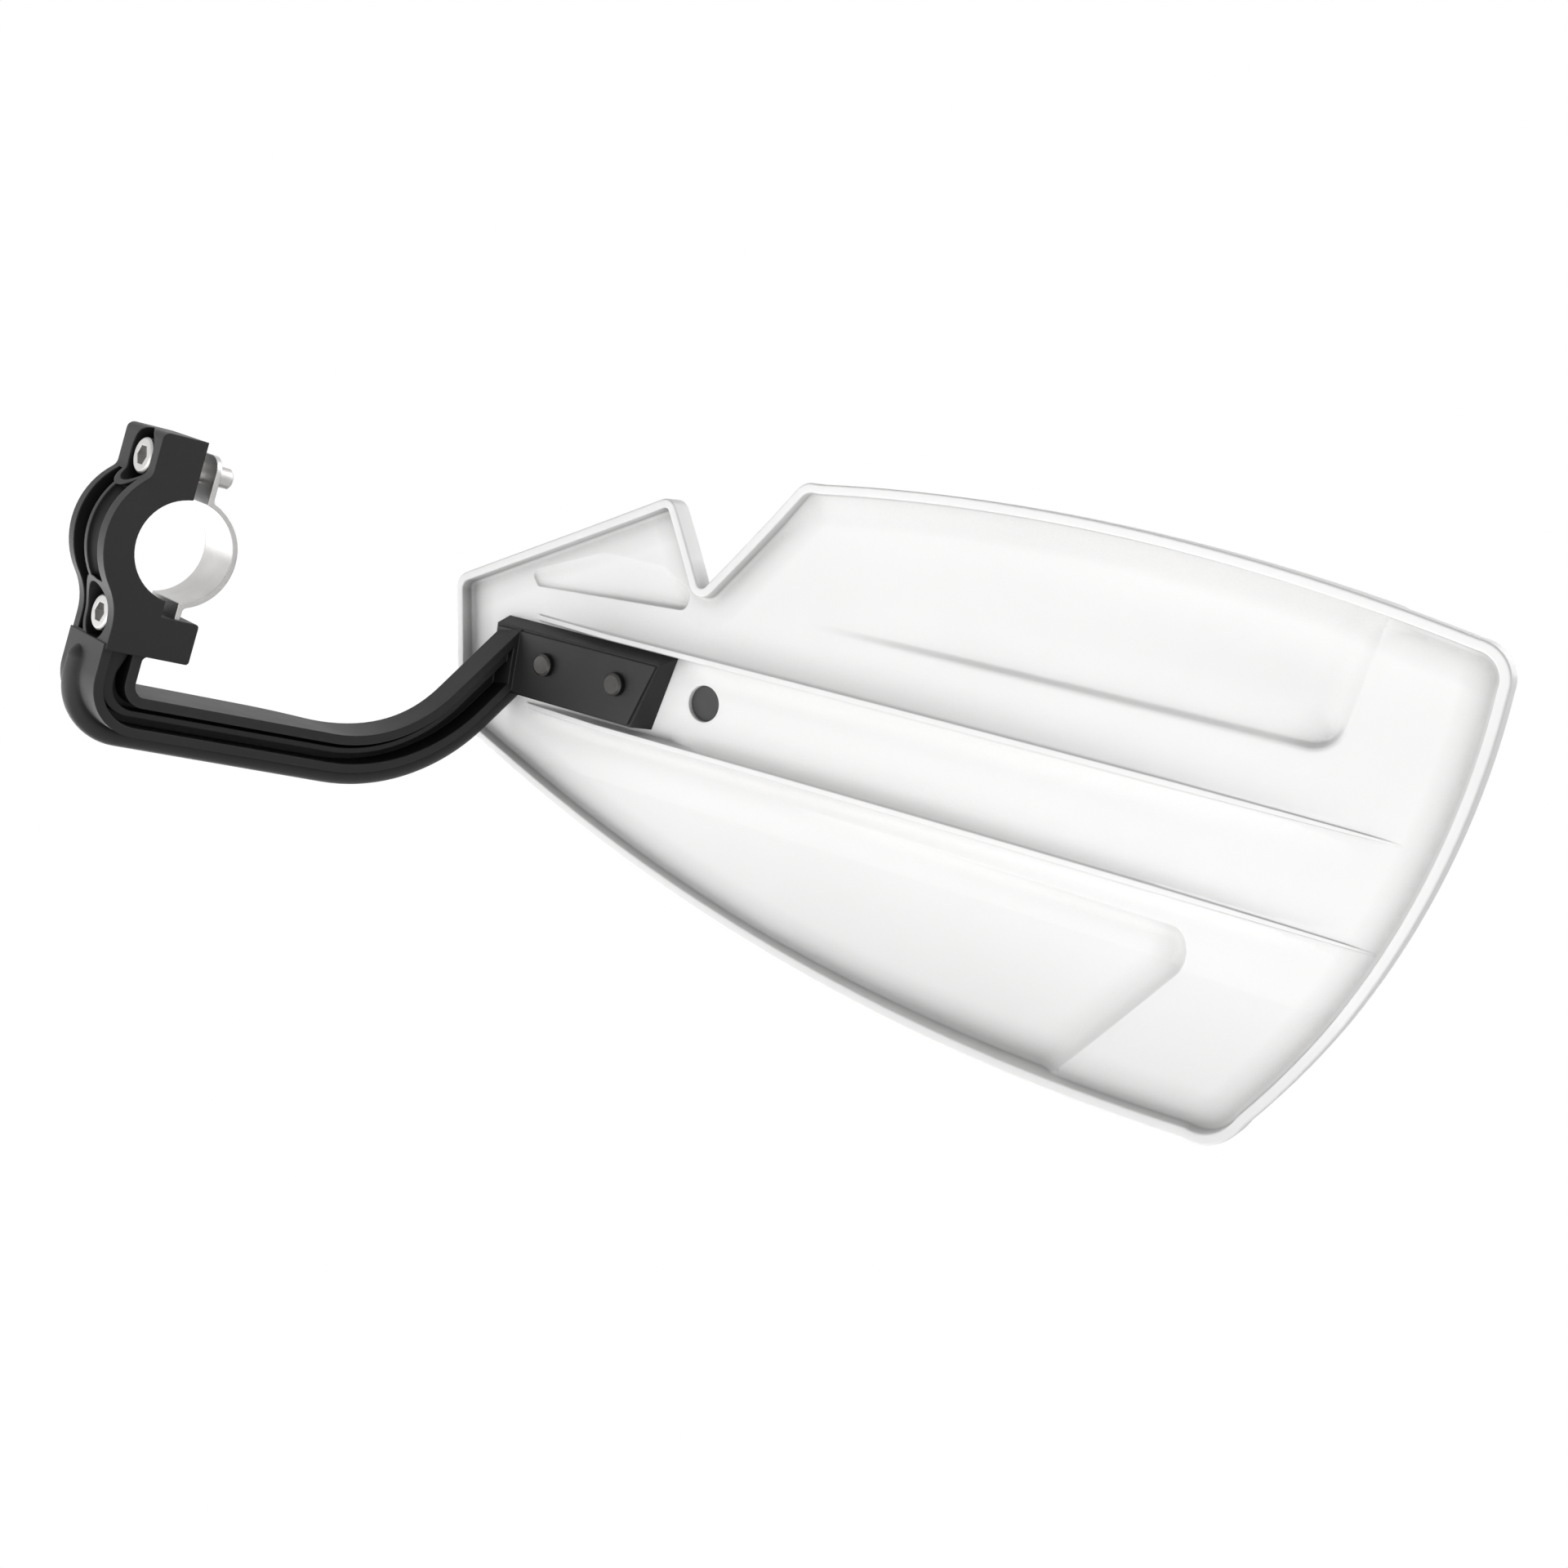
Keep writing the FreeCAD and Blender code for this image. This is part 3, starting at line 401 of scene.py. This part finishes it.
def nearest(p, line, batch=1500):
    """Distance from each point of p to a closed line, the nearest place and its side's number."""
    ab = np.roll(line, -1, axis=0) - line
    size = (ab ** 2).sum(1)
    dist, near, side = np.empty(len(p)), np.empty((len(p), 2)), np.empty(len(p), int)
    for i in range(0, len(p), batch):
        ap = p[i:i + batch, None] - line
        t = np.clip((ap * ab).sum(2) / size, 0, 1)
        d = ((ap - t[..., None] * ab) ** 2).sum(2)
        k = d.argmin(1)
        rows = np.arange(len(k))
        dist[i:i + batch] = np.sqrt(d[rows, k])
        near[i:i + batch] = line[k] + t[rows, k, None] * ab[k]
        side[i:i + batch] = k
    return dist, near, side


def inside(p, line):
    """True where a point of p lies inside a closed line."""
    hit = np.zeros(len(p), bool)
    for a, b in zip(line, np.roll(line, -1, axis=0)):
        if a[1] != b[1]:
            across = (a[1] > p[:, 1]) != (b[1] > p[:, 1])
            hit ^= across & (p[:, 0] < a[0] + (p[:, 1] - a[1]) * (b[0] - a[0]) / (b[1] - a[1]))
    return hit


def inward(line):
    """Unit direction into a closed line at each of its sides."""
    way = np.roll(line, -1, axis=0) - line
    way /= np.linalg.norm(way, axis=1)[:, None]
    x, y = line.T
    turn = 1 if (x * np.roll(y, -1) - y * np.roll(x, -1)).sum() > 0 else -1
    return turn * np.column_stack((-way[:, 1], way[:, 0]))


def signed(p, line):
    """Distance from each point of p into a closed line, below zero outside."""
    return np.where(inside(p, line), 1, -1) * nearest(p, line)[0]


def field(p, line):
    """Signed distance into a closed line, the way it grows, and the height of the nearest place."""
    d, near, side = nearest(p, line)
    s = np.where(inside(p, line), 1, -1) * d
    way = inward(line)[side]
    far = d > 1e-4
    way[far] = (p[far] - near[far]) / s[far, None]
    return s, way, near[:, 1]


def smooth(x, low, high):
    """Soft step from 0 at low to 1 at high."""
    t = np.clip((x - low) / (high - low), 0, 1)
    return t * t * (3 - 2 * t)


def rounding(d, r):
    """Drop of a rounded edge of radius r at distance d from it; steep beyond the edge."""
    inner = r - np.sqrt(np.clip(r * r - np.clip(r - d, 0, r) ** 2, 0, None))
    return inner + STEEP * np.clip(-d, 0, None)


def skin(u, v):
    """Height of the skin's rider side, to the rider."""
    low = np.clip(CREASE_V - v, 0, None) / LOW_REACH
    top = np.clip(v - TOP_FROM, 0, None) / TOP_REACH
    out = np.clip(u - SWEEP_FROM, 0, None) / (SWEEP_TO - SWEEP_FROM)
    return SEAT_W + SWEEP_RISE * out ** 2 + LOW_SLOPE * low + LOW_RISE * low ** 2 + TOP_RISE * top ** 2


def rib_share(u, start, ramp):
    """How much of its full height a rib has at u."""
    sweep = (RIB_END - SWEEP_FROM) ** 2
    end = 1 - np.clip(u - SWEEP_FROM, 0, None) ** 2 / sweep
    return np.clip(np.minimum((u - start) / ramp, end), 0, 1)


def rib_width(u):
    """A rib narrows to a point over its last part."""
    return RIB_TIP + (1 - RIB_TIP) * np.sqrt(np.clip((RIB_END - u) / RIB_TAPER, 0, 1))


def ribs(u, v):
    """Height of the ribs and their blends; between the ribs the blends start past the arm's plate."""
    total = np.zeros(len(u))
    full = rib_share(u, RIB_START, RIB_RAMP)
    bare = rib_share(u, PLATE_END_U, SWEEP_FROM - PLATE_END_U)
    for i, (at, slope, above, below) in enumerate(RIBS):
        off = v - at - slope * u
        x = np.abs(off) / rib_width(u)
        outer = off > 0 if i == 0 else off < 0
        wide = np.where(off > 0, above, below)
        fall = np.clip(1 - (np.abs(off) - RIB_FOOT) / wide, 0, 1)
        blend = BLEND_H * np.where(outer, full, bare) * fall ** 3
        top = RIB_H * full - rounding(RIB_HALF - x, RIB_ROUND)
        flank = np.clip((x - RIB_HALF) / (RIB_FOOT - RIB_HALF), 0, 1)
        edge = np.maximum(RIB_H * full - RIB_ROUND, 0)
        side = edge + (np.minimum(blend, edge) - edge) * flank
        total = np.maximum(total, np.where(x < RIB_HALF, np.maximum(top, 0), side))
    return total


def sink(name, u, most=None):
    """Depth of a pocket's floor at u; it grows past the stated depth unless most is 1."""
    deep, start, end = SINK[name]
    return deep * np.clip((u - start) / (end - start), 0, most)


def walled(name, s):
    """Share of a pocket's depth at s inside its edge: a sharp edge, then a wall with a concave foot."""
    return np.where(s > 0, 1 - np.clip(1 - s / WALL_REACH[name], 0, 1) ** 3, 0)


def upper_sunk(u, v, s, near):
    """Depth of the upper pocket: a soft low step, and a sharp outer edge above a wide concave foot."""
    full = sink("upper", u)
    low = np.minimum(full, sum(gain * smooth(u, start, end) for gain, start, end in UPPER_STEPS))
    dip = DIP * (1 - smooth(v, *DIP_V)) * smooth(u, *DIP_U)
    floor = low + (full - low) * smooth(v, *UPPER_FULL_V) + dip
    soft = smooth(s, *SOFT_STEP)
    return floor * (soft + (walled("upper", s) - soft) * smooth(near, *SHARP_V))


def horn_sunk(u, v, s):
    """Depth of the horn's pocket: its floor leaves the skin at the top and is deepest at the low wall."""
    (start, low), (end, high) = (corner[:2] for corner in POCKETS["horn"][1:3])
    up = v - (low + (u - start) * (high - low) / (end - start))
    deep = HORN_DEPTH + HORN_GAIN * smooth(u, *HORN_GAIN_U)
    return deep * np.clip(1 - up / HORN_RISE_V, 0, 1) * walled("horn", s)


def sunk(u, v, fields):
    """Depth of the three pockets below the skin on the rider's side."""
    upper = upper_sunk(u, v, *fields["upper"])
    lower = sink("lower", u) * walled("lower", fields["lower"][0])
    horn = horn_sunk(u, v, fields["horn"][0])
    return np.maximum(0, np.maximum(np.maximum(upper, lower), horn))


def rider_side(u, v, fields):
    """Height of the side with the rim and the ribs."""
    d = fields["edge"][0]
    base = skin(u, v)
    high = base + RIM_H - rounding(d, RIM_OUTER_ROUND) - rounding(RIM_EDGE - d, RIM_EDGE - RIM_FLAT)
    soft = smooth(v, *SOFT_V) * smooth(u, *SOFT_FROM_U) * (1 - smooth(u, *SOFT_TO_U))
    fall = np.clip(1 - (d - RIM_FOOT) / (FOOT_REACH + SOFT_REACH * soft), 0, 1)
    foot = (FOOT_H + SOFT_H * soft) * fall ** (2 + soft)
    low = base + np.maximum(ribs(u, v), foot) - sunk(u, v, fields)
    edge = base + RIM_H - (RIM_EDGE - RIM_FLAT)
    t = np.clip((d - RIM_EDGE) / (RIM_FOOT - RIM_EDGE), 0, 1)
    w = np.where(d < RIM_EDGE, high, edge + (low - edge) * t)
    for at, r in HOLES:
        w = w - rounding(np.hypot(u - at, v) - r, HOLE_ROUND)
    return w


def front_side(u, v, fields):
    """Height of the hidden front side, which follows the pockets."""
    w = skin(u, v) - SKIN_T + rounding(fields["edge"][0], FRONT_ROUND)
    for at, r in HOLES:
        w = w + rounding(np.hypot(u - at, v) - r, HOLE_ROUND)
    for name in POCKETS:
        w = w - sink(name, u, most=1) * smooth(fields[name][0], *FRONT_WALL)
    return w


def shifted(line, by):
    """A closed line moved inwards."""
    way = inward(line) + np.roll(inward(line), 1, axis=0)
    return line + by * way / np.linalg.norm(way, axis=1)[:, None]


def runs(line, keep):
    """The unbroken stretches of a closed line that are kept."""
    n = len(line)
    for i in (i for i in range(n) if keep[i] and not keep[i - 1]):
        run = []
        while keep[i % n]:
            run.append(line[i % n])
            i += 1
        yield np.array(run)


def form_lines(lines):
    """Points along every edge of the shield's form, and the pairs of them that a line joins."""
    edge = lines["edge"]
    points, joins = [], []

    def add(line, closed):
        first = sum(len(p) for p in points)
        points.append(line)
        n = len(line)
        joins.extend((first + i, first + (i + 1) % n) for i in range(n if closed else n - 1))

    for d in RIM_LINES:
        add(shifted(edge, d), True)
    for at, r in HOLES:
        for grow in HOLE_LINES:
            turn = 2 * math.pi * np.arange(HOLE_STEPS) / HOLE_STEPS
            add(np.array((at, 0)) + (r + grow) * np.column_stack((np.cos(turn), np.sin(turn))), True)
    u = np.arange(*RIB_U, GRID)
    for at, slope, *blends in RIBS:
        for x in RIB_LINES:
            for side in ((-1, 1) if x else (1,)):
                v = at + slope * u + side * x * (rib_width(u) if x <= RIB_FOOT else 1)
                add(np.column_stack((u, v)), False)
    u = np.arange(*CREASE_U, GRID)
    for shift in CREASE_LINES:
        line = np.column_stack((u, np.full_like(u, CREASE_V + shift)))
        add(line[signed(line, edge) > LINE_STOP], False)
    for name in POCKETS:
        for shift in POCKET_LINES:
            line = shifted(lines[name], shift)
            keep = signed(line, edge) > LINE_STOP
            if keep.all():
                add(line, True)
            else:
                for run in runs(line, keep):
                    add(run, False)
    return np.concatenate(points), joins


def grid_points(edge, fixed):
    """Grid over the shield inside its rim, clear of the holes and of the fixed points."""
    grid = np.array([(x, y) for x in np.arange(*GRID_U, GRID) for y in np.arange(*GRID_V, GRID)])
    grid = grid[signed(grid, edge) > GRID_FROM_EDGE]
    grid = grid[np.all([np.hypot(grid[:, 0] - at, grid[:, 1]) > r + HOLE_ZONE for at, r in HOLES], axis=0)]
    cells = {}
    for x, y in fixed:
        cells.setdefault((round(x), round(y)), []).append((x, y))

    def clear(x, y):
        for i in (-1, 0, 1):
            for j in (-1, 0, 1):
                for a, b in cells.get((round(x) + i, round(y) + j), ()):
                    if (a - x) ** 2 + (b - y) ** 2 < GRID_FROM_LINE ** 2:
                        return False
        return True

    return np.array([g for g in grid if clear(*g)])


def plan(lines):
    """Triangles over the shield seen square on, with sides along every edge of its form."""
    edge = lines["edge"]
    fixed, joins = form_lines(lines)
    every = [Vector(p) for p in np.concatenate((fixed, grid_points(edge, fixed)))]
    made = delaunay_2d_cdt(every, joins, [], 0, SAME_POINT)
    flat = np.array([tuple(p) for p in made[0]])
    faces = np.array(made[2])
    centre = flat[faces].mean(1)
    keep = signed(centre, edge) > SAME_POINT
    for at, r in HOLES:
        keep &= np.hypot(centre[:, 0] - at, centre[:, 1]) > r * math.cos(math.pi / HOLE_STEPS)
    faces = faces[keep]
    a, b, c = (flat[faces[:, k]] for k in range(3))
    area = (b - a)[:, 0] * (c - a)[:, 1] - (b - a)[:, 1] * (c - a)[:, 0]
    faces = faces[np.abs(area) > LEAST_AREA]
    area = area[np.abs(area) > LEAST_AREA]
    faces[area < 0] = faces[area < 0][:, ::-1]
    used, faces = np.unique(faces, return_inverse=True)
    return flat[used], faces.reshape(-1, 3)


def directions(p, height, sign, fields):
    """Unit normals of a height field, from its rise over a short step each way."""
    step = 0.04
    rise = []
    for axis in ((1, 0), (0, 1)):
        ends = []
        for move in (step, -step):
            near = {k: (s + move * (way @ axis), at) for k, (s, way, at) in fields.items()}
            ends.append(height(p[:, 0] + move * axis[0], p[:, 1] + move * axis[1], near))
        rise.append((ends[0] - ends[1]) / (2 * step))
    n = np.column_stack((-sign * rise[0], -sign * rise[1], np.full(len(p), sign)))
    return n / np.linalg.norm(n, axis=1)[:, None]


def shell(faces, n):
    """Faces of the rider side, the front side, whose points are n further on, and the wall between."""
    sides = [(f[i], f[(i + 1) % 3]) for f in faces for i in range(3)]
    known = set(sides)
    rims = [(a, b) for a, b in sides if (b, a) not in known]
    every = [tuple(int(k) for k in f) for f in faces]
    every += [tuple(int(k) + n for k in f[::-1]) for f in faces]
    every += [(int(b), int(a), int(a) + n, int(b) + n) for a, b in rims]
    return every


def plate_axes():
    """Directions u, v and w: the outer end swept forwards, the top leant to the rider, u turned up."""
    sweep, lean, twist = (math.radians(k) for k in (SWEEP, LEAN, TWIST))
    u0 = np.array((math.cos(sweep), math.sin(sweep), 0))
    n0 = np.array((-math.sin(sweep), math.cos(sweep), 0))
    v0 = np.array((0, 0, 1)) * math.cos(lean) - n0 * math.sin(lean)
    u = u0 * math.cos(twist) + v0 * math.sin(twist)
    v = v0 * math.cos(twist) - u0 * math.sin(twist)
    return np.array((u, v, np.cross(u, v)))


def shield(material):
    lines = {"edge": shield_edge()}
    for name, corners in POCKETS.items():
        lines[name] = evened(rounded(corners))
    flat, faces = plan(lines)
    fields = {name: field(flat, line) for name, line in lines.items()}
    here = {name: (s, near) for name, (s, way, near) in fields.items()}
    spots, normals = [], []
    for height, sign in ((rider_side, 1), (front_side, -1)):
        spots.append(np.column_stack((flat, height(flat[:, 0], flat[:, 1], here))))
        normals.append(directions(flat, height, sign, fields))
    turn = plate_axes()
    place = (np.concatenate(spots) @ turn + PLATE_AT) / 1000
    mesh = bpy.data.meshes.new("shield_skin")
    mesh.from_pydata([tuple(p) for p in place], [], shell(faces, len(flat)))
    mesh.polygons.foreach_set("use_smooth", [True] * len(mesh.polygons))
    mesh.normals_split_custom_set_from_vertices([tuple(k) for k in np.concatenate(normals) @ turn])
    mesh.materials.append(material)
    piece = bpy.data.objects.new("shield_skin", mesh)
    bpy.context.scene.collection.objects.link(piece)
    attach(piece, "root")
    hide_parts("shield")


def lamp(name, turn, lift, far, size, watts):
    data = bpy.data.lights.new(name, "AREA")
    data.shape = "SQUARE"
    data.size = size
    data.energy = watts
    obj = bpy.data.objects.new(name, data)
    turn, lift = math.radians(turn), math.radians(lift)
    way = Vector((math.cos(lift) * math.cos(turn), math.cos(lift) * math.sin(turn), math.sin(lift)))
    obj.location = LIT_POINT + way * far
    obj.rotation_euler = (-way).to_track_quat("-Z", "Y").to_euler()
    obj.visible_camera = False
    bpy.context.scene.collection.objects.link(obj)


def seen_directly(tree):
    """1 for rays that should see the plain white surround: direct, mirrored or let through."""
    path = tree.nodes.new("ShaderNodeLightPath")
    seen = path.outputs["Is Camera Ray"]
    for name in ("Is Glossy Ray", "Is Transmission Ray"):
        either = tree.nodes.new("ShaderNodeMath")
        either.operation = "MAXIMUM"
        tree.links.new(seen, either.inputs[0])
        tree.links.new(path.outputs[name], either.inputs[1])
        seen = either.outputs[0]
    return seen


def world():
    w = bpy.data.worlds.new("studio")
    bpy.context.scene.world = w
    w.use_nodes = True
    t = w.node_tree
    back = t.nodes["Background"]
    back.inputs["Color"].default_value = (1, 1, 1, 1)
    back.inputs["Strength"].default_value = AMBIENT
    white = t.nodes.new("ShaderNodeBackground")
    white.inputs["Color"].default_value = (1, 1, 1, 1)
    white.inputs["Strength"].default_value = 1.0
    mix = t.nodes.new("ShaderNodeMixShader")
    t.links.new(seen_directly(t), mix.inputs[0])
    t.links.new(back.outputs[0], mix.inputs[1])
    t.links.new(white.outputs[0], mix.inputs[2])
    t.links.new(mix.outputs[0], t.nodes["World Output"].inputs["Surface"])


def floor():
    low = cad_box[0][2] - FLOOR_DROP
    h = FLOOR_HALF
    mesh = bpy.data.meshes.new("floor")
    mesh.from_pydata([(-h, -h, low), (h, -h, low), (h, h, low), (-h, h, low)], [], [(0, 1, 2, 3)])
    obj = bpy.data.objects.new("floor", mesh)
    bpy.context.scene.collection.objects.link(obj)
    m = Nodes("floor_white")
    m.bsdf.inputs["Base Color"].default_value = grey(250)
    m.set(Roughness=0.9)
    glow = m.add("ShaderNodeEmission", Strength=1.0)
    mix = m.add("ShaderNodeMixShader")
    m.link(seen_directly(m.tree), mix.inputs[0])
    m.link(m.bsdf.outputs[0], mix.inputs[1])
    m.link(glow.outputs[0], mix.inputs[2])
    m.link(mix.outputs[0], m.out.inputs["Surface"])
    mesh.materials.append(m.mat)


camera()
world()
floor()
for name, values in LAMPS.items():
    lamp(name, *values)

dress(black_plastic(), "arm")
shield(white_plastic())
dress(steel("strap_steel", 190, 0.34), "clamp_strap")
dress(steel("screw_steel", 186, 0.42), "clamp_screw_upper", "clamp_screw_lower",
      "shield_washer_inner", "shield_washer_outer", "shield_screw_inner", "shield_screw_outer")
dress(steel("black_steel", 70, 0.4), "plate_insert_inner", "plate_insert_outer")
dress(rubber(), "shield_hole_plug")

bpy.context.scene.view_settings.view_transform = "Standard"
